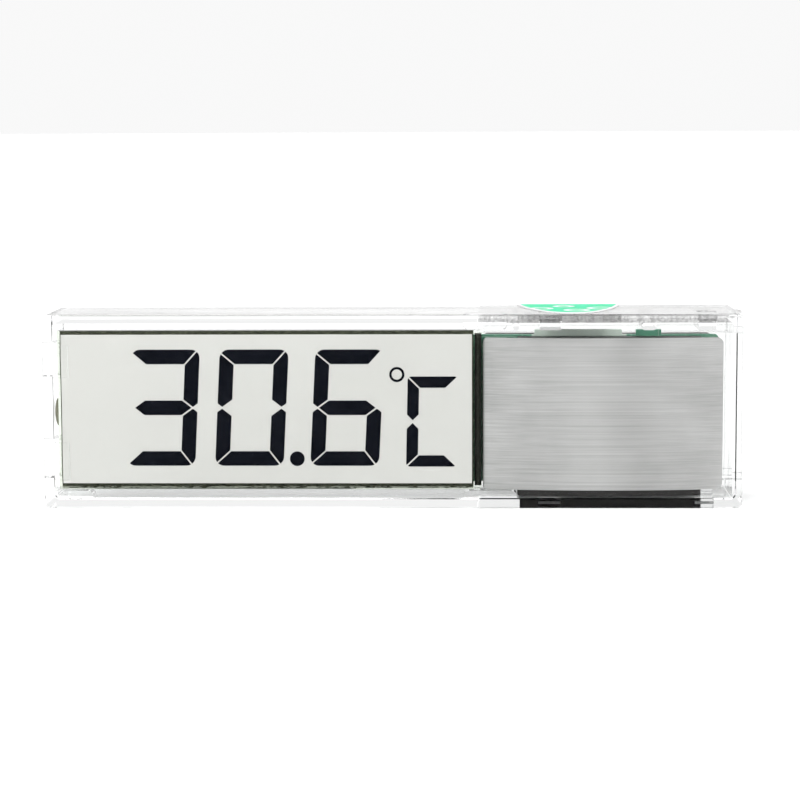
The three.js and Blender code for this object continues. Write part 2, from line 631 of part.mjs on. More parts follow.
// ---------------------------------------------------------------------------------------------------------
// Battery bay
// ---------------------------------------------------------------------------------------------------------

const wellX = [middleX - CELL_PITCH / 2, middleX + CELL_PITCH / 2];
const floorBack = TRAY.front + TRAY.floor;
const cellFront = CELL_BACK - CELL.height;

function batteryTray() {
  const outline = roundedRectangle([TRAY.left, TRAY.right], [TRAY.bottom, TRAY.top], TRAY.corner);
  const body = slab(outline, [TRAY.front, TRAY.back]);
  const footX = [FOOT.left, FOOT.right];
  const foot = block(footX, [FOOT.front, FOOT.back], [FOOT.bottom, FOOT.top]);
  const shelf = block(footX, [TRAY.back - CUT / 4, FOOT.back], [TRAY.bottom, FOOT.top]);
  const wellDepth = [floorBack, TRAY.back + CUT];
  const wells = wellX.map((x) => barY(WELL_RADIUS, wellDepth, x, middleZ, 3 * SMALL_ROUND));
  const tailSlots = wellX.map((x) => block([x + TAIL_SLOT.from, x + TAIL_SLOT.to],
    [TRAY.front - CUT, floorBack + CUT], grown([middleZ, middleZ], TAIL_SLOT.halfHeight)));
  const screwHoles = SCREW_PLACES.map(([x, z]) => barY(SCREW.shank + SCREW.clearance,
    [TRAY.front - CUT, TRAY.back + CUT], x, z));
  return carve([body, foot, shelf], [...wells, ...tailSlots, ...screwHoles]);
}

// A button cell, with its narrower negative cap towards -Y or +Y.
function buttonCell(x, capForward) {
  const profile = [
    [0, 0],
    [CELL.capRadius, 0],
    [CELL.capRadius + CAP_STEP.out, CAP_STEP.rise],
    [CELL.capRadius + CAP_STEP.out, CELL.capHeight],
    [CELL.radius - CELL.edge, CELL.capHeight],
    [CELL.radius, CELL.capHeight + CELL.edge],
    [CELL.radius, CELL.height - CELL.edge],
    [CELL.radius - CELL.edge, CELL.height],
    [0, CELL.height],
  ];
  const geometry = turnedY(profile, 0, 0);
  if (!capForward) {
    geometry.rotateX(Math.PI);
    geometry.translate(0, CELL.height, 0);
  }
  return geometry.translate(x, cellFront, middleZ);
}

// A leaf contact: a tail through the tray floor to the board, and a finger that bears on the cell.
function leafContact(x) {
  const flat = floorBack + LEAF.standoff;
  const touch = cellFront - LEAF.gap;
  const tail = [x + LEAF.tail, x + LEAF.tail + STRIP];
  const outline = new THREE.Shape();
  outline.moveTo(tail[0], boardBack + CELL_GAP);
  outline.lineTo(tail[1], boardBack + CELL_GAP);
  outline.lineTo(tail[1], flat);
  outline.lineTo(x - LEAF.bend, flat);
  outline.lineTo(x, touch - STRIP);
  outline.lineTo(x + LEAF.bend, flat);
  outline.lineTo(x + LEAF.end, flat);
  outline.lineTo(x + LEAF.end, flat + STRIP);
  outline.lineTo(x + LEAF.shoulder, flat + STRIP);
  outline.lineTo(x + LEAF.flat, touch);
  outline.lineTo(x - LEAF.flat, touch);
  outline.lineTo(x - LEAF.shoulder, flat + STRIP);
  outline.lineTo(tail[0], flat + STRIP);
  return prism(outline, grown([middleZ, middleZ], LEAF.halfHeight));
}

function batteryPieces(parent) {
  piece(parent, 'battery_tray', batteryTray(), blackPlastic);
  piece(parent, 'button_cell_1', buttonCell(wellX[0], true), bareSteel);
  piece(parent, 'button_cell_2', buttonCell(wellX[1], false), bareSteel);
  piece(parent, 'contact_negative', leafContact(wellX[0]), bareSteel);
  piece(parent, 'contact_positive', leafContact(wellX[1]), bareSteel);
}

function coverPieces(parent) {
  piece(parent, 'battery_cover', batteryCover(), clearPlastic);
  const bridgeFront = COVER.inner + BRIDGE.gap;
  const bridge = block(bridgeSpan.x, [bridgeFront, bridgeFront + STRIP], bridgeSpan.z);
  piece(parent, 'contact_bridge', bridge, bareSteel);
}

// ---------------------------------------------------------------------------------------------------------
// Pad and labels
// ---------------------------------------------------------------------------------------------------------

// A tongue of an ellipse on the roof that folds down over the back edge, across the seam of the case.
function sealSticker() {
  const centreY = CASE.front + STICKER.tip + STICKER.halfLength;
  const foldY = MODULE.back + STICKER.lift + STICKER.thickness;
  const roof = CASE.height + STICKER.lift;
  const halfAt = (y) => STICKER.halfWidth * Math.sqrt(1 - ((y - centreY) / STICKER.halfLength) ** 2);
  const outline = new THREE.Shape();
  outline.moveTo(STICKER.x + halfAt(foldY), foldY);
  const tipY = CASE.front + STICKER.tip;
  for (let step = 0; step <= STICKER.steps; step += 1) {
    const side = 1 - 2 * step / STICKER.steps;
    const y = tipY + (foldY - tipY) * side * side;
    outline.lineTo(STICKER.x + Math.sign(side) * halfAt(y), y);
  }
  const top = prism(outline, [roof, roof + STICKER.thickness]);
  const flap = block(grown([STICKER.x, STICKER.x], halfAt(foldY)), [foldY - STICKER.thickness, foldY],
    [CASE.height - STICKER.fold, roof + STICKER.thickness]);
  return carve([top, flap]);
}

function labelPieces(parent) {
  const padOutline = roundedRectangle([PAD.left, PAD.right], [PAD.bottom, PAD.top], PAD.corner);
  const linerFront = GLASS_PLANE - LINER;
  const foam = slab(padOutline, [CASE.rim + CELL_GAP, linerFront - CELL_GAP]);
  piece(parent, 'adhesive_pad', foam, whiteFoam);
  piece(parent, 'pad_liner', slab(padOutline, [linerFront, GLASS_PLANE]), linerPaper);
  piece(parent, 'seal_sticker', sealSticker(), stickerGreen);
}

// ---------------------------------------------------------------------------------------------------------
// Assembly
// ---------------------------------------------------------------------------------------------------------

const group = new THREE.Group();
const sections = ['casing', 'display', 'electronics', 'sensor', 'battery', 'cover', 'labels'];
const parts = Object.fromEntries(sections.map((name) => [name, new THREE.Group()]));
group.add(...Object.values(parts));

piece(parts.casing, 'front_case', frontCase(), clearPlastic);
piece(parts.casing, 'back_cover', backCover(), clearPlastic);
displayPieces(parts.display);
piece(parts.display, 'face_plate', facePlate(), brushedPlate);
piece(parts.display, 'plate_carrier', plateCarrier(), blackPlastic);
electronicsPieces(parts.electronics);
sensorPieces(parts.sensor);
batteryPieces(parts.battery);
coverPieces(parts.cover);
labelPieces(parts.labels);

export default group;
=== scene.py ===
import json
import math

import bmesh
import bpy
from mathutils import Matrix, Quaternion, Vector

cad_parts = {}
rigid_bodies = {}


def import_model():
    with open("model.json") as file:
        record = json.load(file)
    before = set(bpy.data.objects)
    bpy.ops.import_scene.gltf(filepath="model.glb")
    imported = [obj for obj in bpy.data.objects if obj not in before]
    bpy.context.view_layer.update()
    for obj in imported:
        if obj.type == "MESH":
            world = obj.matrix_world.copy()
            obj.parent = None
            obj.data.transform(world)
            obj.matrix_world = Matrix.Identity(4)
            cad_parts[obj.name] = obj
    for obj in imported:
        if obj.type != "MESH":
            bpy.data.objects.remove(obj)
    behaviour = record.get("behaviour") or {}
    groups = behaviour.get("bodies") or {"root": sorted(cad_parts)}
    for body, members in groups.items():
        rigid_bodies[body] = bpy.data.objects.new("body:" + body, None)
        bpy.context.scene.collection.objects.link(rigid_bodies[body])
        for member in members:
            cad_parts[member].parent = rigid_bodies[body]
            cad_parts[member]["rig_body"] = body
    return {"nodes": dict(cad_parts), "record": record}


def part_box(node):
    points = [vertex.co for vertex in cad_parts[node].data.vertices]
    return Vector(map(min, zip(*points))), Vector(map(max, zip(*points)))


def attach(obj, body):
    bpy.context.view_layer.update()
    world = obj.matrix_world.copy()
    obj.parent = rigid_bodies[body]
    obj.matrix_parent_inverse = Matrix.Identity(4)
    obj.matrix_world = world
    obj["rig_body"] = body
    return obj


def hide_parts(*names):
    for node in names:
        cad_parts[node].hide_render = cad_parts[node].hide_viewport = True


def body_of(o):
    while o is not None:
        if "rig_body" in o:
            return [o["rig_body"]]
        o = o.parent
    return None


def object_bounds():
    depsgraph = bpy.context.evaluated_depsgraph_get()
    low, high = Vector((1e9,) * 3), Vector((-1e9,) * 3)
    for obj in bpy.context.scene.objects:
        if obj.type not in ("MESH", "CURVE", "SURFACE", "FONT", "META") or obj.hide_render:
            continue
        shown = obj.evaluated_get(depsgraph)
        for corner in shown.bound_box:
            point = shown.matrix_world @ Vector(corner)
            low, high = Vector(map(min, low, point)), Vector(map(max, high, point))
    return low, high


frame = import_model()
cad_low, cad_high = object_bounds()

MM = 0.001
CASE_BODY = "case"

# Optics of the clear pieces. How much of their reflection is kept follows the Fresnel factor: it is
# REFLECT_LEAST up to a factor of REFLECT_START, and all of it from REFLECT_FULL on.
CLEAR_IOR = 1.50
REFLECT_LEAST = 0.02
REFLECT_START = 0.15
REFLECT_FULL = 0.7

# Regions of the materials, in millimetres: the roof's fine texture, the heights of a band of painted shadow
# on the display's resin under the film's edge, the height below which the resin has flecks, the rubber
# strip's core in X, and the board's bare tab in X and Z. A pair holds where a region starts to show and
# where it is full.
ROOF_TEXTURE = {"X": (8.8, 9.0), "Y": (-4.7, -4.6), "Z": (19.6, 19.65)}
RESIN_PAINTED_SHADOW = {"low": 2.38, "high": 2.8, "soft": 0.08}
RESIN_FLECKS = (2.16, 2.06)
RUBBER_CORE = {"low": 8.62, "high": 8.84, "soft": 0.06}
BARE_TAB = {"low": 14.5, "high": 24.6, "soft": 0.1}
BARE_TAB_HEIGHT = (18.0, 18.1)

# The label, in millimetres: its half axes, each ring's place (from the label's middle and front tip) and
# radius, half the width of a ring's line and the softness of its edges. The border is a share of the half
# axes. The print shows on the outermost skin of the label, which is measured from its top and its back.
SEAL_HALF = (6.1, 20.0)
SEAL_RINGS = [(0.6, 3.9, 1.15), (-3.1, 6.3, 1.0), (3.4, 6.6, 1.35), (-0.6, 9.2, 0.9)]
SEAL_LINE_HALF = 0.3
SEAL_LINE_SOFT = 0.06
SEAL_BORDER = (0.945, 0.955)
SEAL_SKIN = (0.03, 0.02)


# --------------------------------------------------------------------------------------------------
# Node helpers
# --------------------------------------------------------------------------------------------------

class Finish:
    """A material being built: short calls that add shader nodes and join them."""

    def __init__(self, name):
        self.material = bpy.data.materials.new(name)
        self.material.use_nodes = True
        self.tree = self.material.node_tree
        self.tree.nodes.clear()
        self.output = self.tree.nodes.new("ShaderNodeOutputMaterial")
        self.shader = self.tree.nodes.new("ShaderNodeBsdfPrincipled")
        self.link(self.shader.outputs["BSDF"], self.output.inputs["Surface"])

    def node(self, kind, **settings):
        made = self.tree.nodes.new(kind)
        for key, value in settings.items():
            setattr(made, key, value)
        return made

    def link(self, source, target):
        self.tree.links.new(source, target)

    def set(self, **values):
        """Values of the Principled shader's own sockets, such as base_color or coat_weight."""
        for key, value in values.items():
            label = " ".join(word.capitalize() for word in key.split("_")).replace("Ior", "IOR")
            socket = self.shader.inputs[label]
            socket.default_value = (*value, 1) if socket.type == "RGBA" and len(value) == 3 else value
        return self

    def place(self, scale=(1, 1, 1)):
        """Object coordinates in millimetres, stretched by scale."""
        coordinates = self.node("ShaderNodeTexCoord")
        mapping = self.node("ShaderNodeMapping")
        mapping.inputs["Scale"].default_value = [factor / MM for factor in scale]
        self.link(coordinates.outputs["Object"], mapping.inputs["Vector"])
        return mapping.outputs["Vector"]

    def noise(self, place, scale, detail=4, roughness=0.5):
        noise = self.node("ShaderNodeTexNoise")
        noise.inputs["Scale"].default_value = scale
        noise.inputs["Detail"].default_value = detail
        noise.inputs["Roughness"].default_value = roughness
        self.link(place, noise.inputs["Vector"])
        return noise.outputs["Fac"]

    def ramp(self, factor, stops):
        """A colour ramp through stops of (position, colour)."""
        ramp = self.node("ShaderNodeValToRGB")
        elements = ramp.color_ramp.elements
        while len(elements) < len(stops):
            elements.new(0.5)
        for element, (position, colour) in zip(elements, stops):
            element.position = position
            element.color = (*colour, 1)
        self.link(factor, ramp.inputs["Fac"])
        return ramp.outputs["Color"]

    def spread(self, factor, low, high, start=0.0, end=1.0):
        """factor between start and end, mapped to low and high."""
        mapped = self.node("ShaderNodeMapRange")
        for label, value in (("From Min", start), ("From Max", end), ("To Min", low), ("To Max", high)):
            mapped.inputs[label].default_value = value
        self.link(factor, mapped.inputs["Value"])
        return mapped.outputs["Result"]

    def rise(self, factor, start, end):
        """0 up to start and 1 from end on. It falls instead where start is above end."""
        if start > end:
            return self.spread(factor, 1.0, 0.0, end, start)
        return self.spread(factor, 0.0, 1.0, start, end)

    def math(self, operation, first, second):
        combined = self.node("ShaderNodeMath", operation=operation)
        for socket, value in zip(combined.inputs, (first, second)):
            if isinstance(value, (int, float)):
                socket.default_value = value
            else:
                self.link(value, socket)
        return combined.outputs["Value"]

    def split(self, vector):
        """X, Y and Z of a vector, by name."""
        axes = self.node("ShaderNodeSeparateXYZ")
        self.link(vector, axes.inputs["Vector"])
        return axes.outputs

    def within(self, value, low, high, soft):
        """1 where value lies between low and high, 0 outside, with edges this soft."""
        rising = self.rise(value, low - soft, low + soft)
        falling = self.rise(value, high + soft, high - soft)
        return self.math("MULTIPLY", rising, falling)

    def hypotenuse(self, first, second):
        squares = [self.math("MULTIPLY", side, side) for side in (first, second)]
        return self.math("SQRT", self.math("ADD", *squares), 0.0)

    def distance(self, place, centre):
        """Distance in millimetres from a point on the roof, seen from above."""
        axes = self.split(place)
        across = self.math("SUBTRACT", axes["X"], centre[0])
        along = self.math("SUBTRACT", axes["Y"], centre[1])
        return self.hypotenuse(across, along)

    def blend(self, factor, first, second):
        """A mix of two colours, each a colour or a socket."""
        mixed = self.node("ShaderNodeMix", data_type="RGBA")
        self.link(factor, mixed.inputs["Factor"])
        for label, value in (("A", first), ("B", second)):
            socket = next(item for item in mixed.inputs if item.name == label and item.type == "RGBA")
            if isinstance(value, tuple):
                socket.default_value = (*value, 1)
            else:
                self.link(value, socket)
        return next(item for item in mixed.outputs if item.type == "RGBA")

    def bump(self, height, distance, strength=1.0):
        bump = self.node("ShaderNodeBump")
        bump.inputs["Strength"].default_value = strength
        bump.inputs["Distance"].default_value = distance
        self.link(height, bump.inputs["Height"])
        self.link(bump.outputs["Normal"], self.shader.inputs["Normal"])

    def reflect_at_grazing(self):
        """Clear faces reflect little face on, and fully at a grazing angle or where light can't leave."""
        fresnel = self.node("ShaderNodeFresnel")
        fresnel.inputs["IOR"].default_value = CLEAR_IOR
        share = self.spread(fresnel.outputs["Fac"], REFLECT_LEAST, 1.0, REFLECT_START, REFLECT_FULL)
        self.link(share, self.shader.inputs["Specular Tint"])

    def let_lamps_through(self, tint=(1, 1, 1)):
        """Shadow rays pass straight through, so what is behind clear plastic is lit."""
        light_path = self.node("ShaderNodeLightPath")
        clear = self.node("ShaderNodeBsdfTransparent")
        clear.inputs["Color"].default_value = (*tint, 1)
        mixed = self.node("ShaderNodeMixShader")
        self.link(light_path.outputs["Is Shadow Ray"], mixed.inputs["Fac"])
        self.link(self.shader.outputs["BSDF"], mixed.inputs[1])
        self.link(clear.outputs["BSDF"], mixed.inputs[2])
        self.link(mixed.outputs["Shader"], self.output.inputs["Surface"])


# --------------------------------------------------------------------------------------------------
# Materials
# --------------------------------------------------------------------------------------------------

def clear_plastic():
    """Clear moulding, with a finely textured roof over the electronics."""
    made = Finish("clear_plastic")
    made.set(transmission_weight=1.0, ior=CLEAR_IOR)
    made.reflect_at_grazing()
    place = made.place()
    axes = made.split(place)
    across, along, up = (made.rise(axes[axis], *ROOF_TEXTURE[axis]) for axis in "XYZ")
    textured = made.math("MULTIPLY", across, made.math("MULTIPLY", along, up))
    grain = made.noise(place, 3.0, 3, 0.6)
    stipple = made.ramp(grain, [(0.4, (0.60, 0.60, 0.60)), (0.6, (0.86, 0.86, 0.86))])
    made.link(made.blend(textured, (0.945, 0.948, 0.947), stipple), made.shader.inputs["Base Color"])
    haze = made.noise(place, 0.35, 3)
    made.link(made.spread(haze, 0.0, 0.05, 0.3, 0.8), made.shader.inputs["Roughness"])
    made.bump(made.noise(place, 0.25, 2), 0.012 * MM)
    made.let_lamps_through((0.97, 0.98, 0.975))
    return made.material


def display_glass():
    made = Finish("display_glass")
    made.set(base_color=(0.90, 0.93, 0.88), transmission_weight=1.0, ior=CLEAR_IOR)
    made.reflect_at_grazing()
    haze = made.noise(made.place(), 0.6, 2)
    made.link(made.spread(haze, 0.0, 0.03), made.shader.inputs["Roughness"])
    made.let_lamps_through((0.92, 0.94, 0.91))
    return made.material


def polariser_film():
    made = Finish("polariser_film")
    place = made.place()
    cloud = made.noise(place, 0.08, 2)
    made.link(made.ramp(cloud, [(0.3, (0.80, 0.80, 0.765)), (0.7, (0.83, 0.83, 0.795))]),
              made.shader.inputs["Base Color"])
    made.set(roughness=0.5, specular_ior_level=0.1)
    made.bump(made.noise(place, 14, 3), 0.004 * MM)
    return made.material


def perimeter_resin():
    """The seal between the two glasses: dark olive, with a band of painted shadow just under the film's
    edge, and pale flecks where the glass edge is chipped.
    """
    made = Finish("perimeter_resin")
    place = made.place()
    body = made.ramp(made.noise(place, 2.2, 4), [(0.35, (0.07, 0.072, 0.055)), (0.7, (0.16, 0.165, 0.125))])
    streaks = made.noise(made.place((1.1, 1, 7)), 1.0, 4, 0.65)
    height = made.split(place)["Z"]
    # Painted shadow: the resin turns near black in a band just under the film's edge, where the film shades
    # it.
    with_painted_shadow = made.blend(made.within(height, **RESIN_PAINTED_SHADOW), body, (0.014, 0.014, 0.012))
    fleck = made.math("MULTIPLY", made.rise(streaks, 0.47, 0.52), made.rise(height, *RESIN_FLECKS))
    made.link(made.blend(fleck, with_painted_shadow, (0.80, 0.81, 0.74)), made.shader.inputs["Base Color"])
    made.set(roughness=0.45, specular_ior_level=0.1)
    made.bump(streaks, 0.01 * MM)
    return made.material


def segment_ink():
    made = Finish("segment_ink")
    tone = made.noise(made.place(), 0.4, 2)
    made.link(made.ramp(tone, [(0.3, (0.003, 0.004, 0.008)), (0.7, (0.005, 0.006, 0.011))]),
              made.shader.inputs["Base Color"])
    made.set(roughness=0.5, specular_ior_level=0.05)
    return made.material


def reflector_film():
    made = Finish("reflector_film")
    place = made.place()
    made.link(made.ramp(made.noise(place, 9, 4), [(0.3, (0.62, 0.63, 0.60)), (0.7, (0.78, 0.79, 0.76))]),
              made.shader.inputs["Base Color"])
    made.set(metallic=0.6, roughness=0.38)
    made.bump(made.noise(place, 12, 3), 0.006 * MM)
    return made.material


def brushed_metal():
    """Sheet brushed along X: fine straight scratches, and highlights that spread up and down."""
    made = Finish("brushed_plate")
    hair = made.noise(made.place((0.03, 1, 11)), 1.0, 5, 0.7)
    line = made.noise(made.place((0.012, 1, 4.5)), 1.0, 4, 0.7)
    cloud = made.noise(made.place((0.10, 1, 0.14)), 1.0, 3)
    scratches = made.math("ADD", made.math("MULTIPLY", hair, 0.55), made.math("MULTIPLY", line, 0.45))
    mixed = made.math("ADD", made.math("MULTIPLY", scratches, 0.72), made.math("MULTIPLY", cloud, 0.28))
    grey = made.ramp(mixed, [(0.36, (0.40, 0.40, 0.395)), (0.5, (0.53, 0.53, 0.525)),
                             (0.64, (0.66, 0.66, 0.655))])
    made.link(grey, made.shader.inputs["Base Color"])
    made.set(metallic=1.0, anisotropic=0.85)
    geometry = made.node("ShaderNodeNewGeometry")
    upright = made.node("ShaderNodeVectorMath", operation="CROSS_PRODUCT")
    upright.inputs[1].default_value = (1, 0, 0)
    made.link(geometry.outputs["Normal"], upright.inputs[0])
    made.link(upright.outputs["Vector"], made.shader.inputs["Tangent"])
    made.link(made.spread(scratches, 0.30, 0.42, 0.35, 0.65), made.shader.inputs["Roughness"])
    made.bump(scratches, 0.006 * MM, 0.5)
    return made.material


def moulded(name, low, high, roughness, grain=6.0, depth=0.01, **extra):
    """Moulded plastic, rubber or foam: a fine grain in colour, gloss and height."""
    made = Finish(name)
    place = made.place()
    grain_noise = made.noise(place, grain, 5, 0.6)
    made.link(made.ramp(grain_noise, [(0.3, low), (0.7, high)]), made.shader.inputs["Base Color"])
    made.link(made.spread(grain_noise, roughness - 0.08, roughness + 0.08, 0.3, 0.7),
              made.shader.inputs["Roughness"])
    made.set(**extra)
    made.bump(grain_noise, depth * MM)
    return made.material


def bright_steel(name="bare_steel", base=(0.72, 0.73, 0.74), roughness=0.22):
    made = Finish(name)
    place = made.place()
    wear = made.noise(place, 1.6, 5, 0.6)
    made.link(made.ramp(wear, [(0.35, tuple(0.86 * part for part in base)), (0.65, base)]),
              made.shader.inputs["Base Color"])
    made.link(made.spread(wear, roughness - 0.06, roughness + 0.1), made.shader.inputs["Roughness"])
    made.set(metallic=1.0)
    made.bump(made.noise(place, 9, 4), 0.004 * MM)
    return made.material


def layered_rubber():
    """Thin conductive and insulating layers stacked along Z, between two plain sides."""
    made = Finish("black_rubber")
    place = made.place()
    axes = made.split(place)
    layers = made.node("ShaderNodeTexWave", bands_direction="Z")
    layers.inputs["Scale"].default_value = 1.7
    layers.inputs["Distortion"].default_value = 0.4
    made.link(place, layers.inputs["Vector"])
    stack = made.ramp(layers.outputs["Fac"], [(0.3, (0.006, 0.006, 0.006)), (0.7, (0.020, 0.019, 0.017))])
    centre = made.within(axes["X"], **RUBBER_CORE)
    made.link(made.blend(centre, stack, (0.045, 0.043, 0.038)), made.shader.inputs["Base Color"])
    made.set(roughness=0.6, specular_ior_level=0.2)
    made.bump(layers.outputs["Fac"], 0.01 * MM)
    return made.material


def circuit_board():
    """Green solder mask, with copper tracks that show as paler lines. The wide tab is bare laminate."""
    made = Finish("circuit_board")
    place = made.place()
    axes = made.split(place)
    flat = made.node("ShaderNodeCombineXYZ")
    made.link(axes["X"], flat.inputs["X"])
    made.link(axes["Z"], flat.inputs["Y"])
    tracks = made.node("ShaderNodeTexBrick", offset=0.37, squash=1.0)
    for label, value in (("Scale", 0.55), ("Mortar Size", 0.035), ("Mortar Smooth", 0.3), ("Bias", 0.0),
                         ("Brick Width", 1.6), ("Row Height", 0.55)):
        tracks.inputs[label].default_value = value
    for label, colour in (("Color1", (0.10, 0.30, 0.20)), ("Color2", (0.13, 0.34, 0.23)),
                          ("Mortar", (0.30, 0.50, 0.38))):
        tracks.inputs[label].default_value = (*colour, 1)
    made.link(flat.outputs["Vector"], tracks.inputs["Vector"])
    cloud = made.noise(place, 1.4, 4)
    mask = made.blend(made.spread(cloud, 0.0, 0.45), tracks.outputs["Color"], (0.05, 0.17, 0.11))
    across = made.within(axes["X"], **BARE_TAB)
    bare = made.math("MULTIPLY", across, made.rise(axes["Z"], *BARE_TAB_HEIGHT))
    made.link(made.blend(bare, mask, (0.66, 0.76, 0.68)), made.shader.inputs["Base Color"])
    made.link(made.spread(cloud, 0.28, 0.42), made.shader.inputs["Roughness"])
    made.set(specular_ior_level=0.35)
    made.bump(tracks.outputs["Fac"], 0.02 * MM)
    return made.material


def printed_seal():
    """A green paper label with a white border and plain white rings. Its underside is pale."""
    made = Finish("seal_green")
    place = made.place()
    axes = made.split(place)
    low, high = (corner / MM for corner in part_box("seal_sticker"))
    middle_x = (low.x + high.x) / 2
    half_width, half_length = SEAL_HALF
    centre_y = low.y + half_length
    across = made.math("DIVIDE", made.math("SUBTRACT", axes["X"], middle_x), half_width)
    along = made.math("DIVIDE", made.math("SUBTRACT", axes["Y"], centre_y), half_length)
    marks = made.rise(made.hypotenuse(across, along), *SEAL_BORDER)
    for x, y, radius in SEAL_RINGS:
        reach = made.distance(place, (middle_x + x, low.y + y))
        circle = made.within(reach, radius - SEAL_LINE_HALF, radius + SEAL_LINE_HALF, SEAL_LINE_SOFT)
        marks = made.math("MAXIMUM", marks, circle)
    fibre = made.noise(place, 3.0, 5, 0.6)
    green = made.ramp(fibre, [(0.3, (0.012, 0.60, 0.25)), (0.7, (0.022, 0.68, 0.29))])
    printed = made.blend(marks, green, (0.93, 0.95, 0.93))
    top = made.rise(axes["Z"], *(high.z - depth for depth in SEAL_SKIN))
    back = made.rise(axes["Y"], *(high.y - depth for depth in SEAL_SKIN))
    outside = made.math("MAXIMUM", top, back)
    dots = made.noise(place, 5.0, 3, 0.7)
    underside = made.ramp(dots, [(0.35, (0.88, 0.87, 0.87)), (0.65, (0.96, 0.95, 0.95))])
    made.link(made.blend(outside, underside, printed), made.shader.inputs["Base Color"])
    made.link(made.spread(fibre, 0.42, 0.58), made.shader.inputs["Roughness"])
    made.set(specular_ior_level=0.25, subsurface_weight=1.0, subsurface_scale=0.5 * MM)
    made.shader.inputs["Subsurface Radius"].default_value = (1.0, 1.0, 1.0)
    made.bump(fibre, 0.006 * MM)
    return made.material


def pressed_cap():
    """Steel drawn into a cup: fine rings round the middle, where the tool turned."""
    made = Finish("drawn_steel")
    place = made.place()
    axes = made.split(place)
    low, high = (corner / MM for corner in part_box("sensor_cap"))
    flat = made.node("ShaderNodeCombineXYZ")
    made.link(made.math("SUBTRACT", axes["X"], (low.x + high.x) / 2), flat.inputs["X"])
    made.link(made.math("SUBTRACT", axes["Z"], (low.z + high.z) / 2), flat.inputs["Y"])
    rings = made.node("ShaderNodeTexWave", wave_type="RINGS", rings_direction="Z")
    rings.inputs["Scale"].default_value = 1.1
    rings.inputs["Distortion"].default_value = 0.6
    rings.inputs["Detail"].default_value = 3
    made.link(flat.outputs["Vector"], rings.inputs["Vector"])
    wear = made.noise(place, 1.2, 5, 0.6)
    made.link(made.ramp(wear, [(0.35, (0.60, 0.60, 0.60)), (0.65, (0.74, 0.74, 0.73))]),
              made.shader.inputs["Base Color"])
    made.link(made.spread(wear, 0.2, 0.34), made.shader.inputs["Roughness"])
    made.set(metallic=1.0)
    made.bump(rings.outputs["Fac"], 0.006 * MM)
    return made.material


FINISHES = {
    "clear_plastic": clear_plastic(),
    "display_glass": display_glass(),
    "polariser_film": polariser_film(),
    "reflector_film": reflector_film(),
    "end_seal_resin": moulded("end_seal_resin", (0.19, 0.19, 0.13), (0.27, 0.27, 0.19), 0.35, 3.0),
    "brushed_plate": brushed_metal(),
    "black_plastic": moulded("black_plastic", (0.008, 0.007, 0.006), (0.016, 0.014, 0.012), 0.45),
    "circuit_board": circuit_board(),
    "black_rubber": layered_rubber(),
    "black_resin": moulded("black_resin", (0.004, 0.004, 0.004), (0.009, 0.009, 0.009), 0.25),
    "ceramic_tan": moulded("ceramic_tan", (0.32, 0.20, 0.10), (0.42, 0.28, 0.15), 0.5, 9.0),
    "ceramic_black": moulded("ceramic_black", (0.01, 0.01, 0.011), (0.025, 0.025, 0.027), 0.45, 9.0),
    "bare_steel": bright_steel(),
    "tinned_wire": bright_steel("tinned_wire", (0.66, 0.67, 0.68), 0.3),
    "grey_foam": moulded("grey_foam", (0.03, 0.03, 0.032), (0.07, 0.07, 0.075), 0.9, 4.0, 0.06),
    "white_foam": moulded("white_foam", (0.62, 0.62, 0.60), (0.78, 0.78, 0.76), 0.9, 4.0, 0.06),
    "liner_paper": moulded("liner_paper", (0.80, 0.74, 0.58), (0.86, 0.81, 0.66), 0.5, 2.5),
    "seal_green": printed_seal(),
}
INK = segment_ink()
PERIMETER = perimeter_resin()
DRAWN_STEEL = pressed_cap()

ROWS = {row["node"]: row for row in frame["record"]["subparts"]}


def dress_nodes():
    for name, node in frame["nodes"].items():
        node.data.materials.clear()
        node.data.materials.append(FINISHES[ROWS[name]["material_slot"]])


# --------------------------------------------------------------------------------------------------
# Rounded edges
# --------------------------------------------------------------------------------------------------

SAME_POINT = 1e-4 * MM
FLAT_ANGLE = math.radians(1.0)
SHARP_ANGLE = math.radians(32)

# Millimetres of rounding on the edges of each piece, and its finish where it isn't its slot's own.
ROUNDED = {
    "front_case": (0.06, None),
    "face_plate": (0.06, None),
    "plate_carrier": (0.08, None),
    "battery_tray": (0.08, None),
    "button_cell_1": (0.12, None),
    "button_cell_2": (0.12, None),
    "sensor_cap": (0.06, DRAWN_STEEL),
    "watch_crystal": (0.08, None),
    "board_screw_1": (0.05, None),
    "board_screw_2": (0.05, None),
    "main_board": (0.04, None),
    "adhesive_pad": (0.1, None),
}


def round_edges(name, width, finish):
    """Stands a copy of a node, with small round edges and smooth curved faces, in the node's place."""
    row = ROWS[name]
    mesh = bmesh.new()
    mesh.from_mesh(frame["nodes"][name].data)
    bmesh.ops.remove_doubles(mesh, verts=mesh.verts, dist=SAME_POINT)
    bmesh.ops.dissolve_limit(mesh, angle_limit=FLAT_ANGLE, verts=mesh.verts, edges=mesh.edges)
    edges = [edge for edge in mesh.edges if edge.is_manifold and edge.calc_face_angle() > SHARP_ANGLE]
    bmesh.ops.bevel(mesh, geom=edges, offset=width * MM, offset_type="OFFSET", segments=2, profile=0.5,
                    affect="EDGES", clamp_overlap=True)
    for face in mesh.faces:
        face.smooth = True
    for edge in mesh.edges:
        edge.smooth = edge.is_manifold and edge.calc_face_angle() < SHARP_ANGLE
    made = as_piece(f"{name}_finished", mesh, body_of(frame["nodes"][name])[0],
                    finish or FINISHES[row["material_slot"]])
    normals = made.modifiers.new("face_normals", "WEIGHTED_NORMAL")
    normals.keep_sharp = True
    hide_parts(name)


# --------------------------------------------------------------------------------------------------
# Display segments
# --------------------------------------------------------------------------------------------------

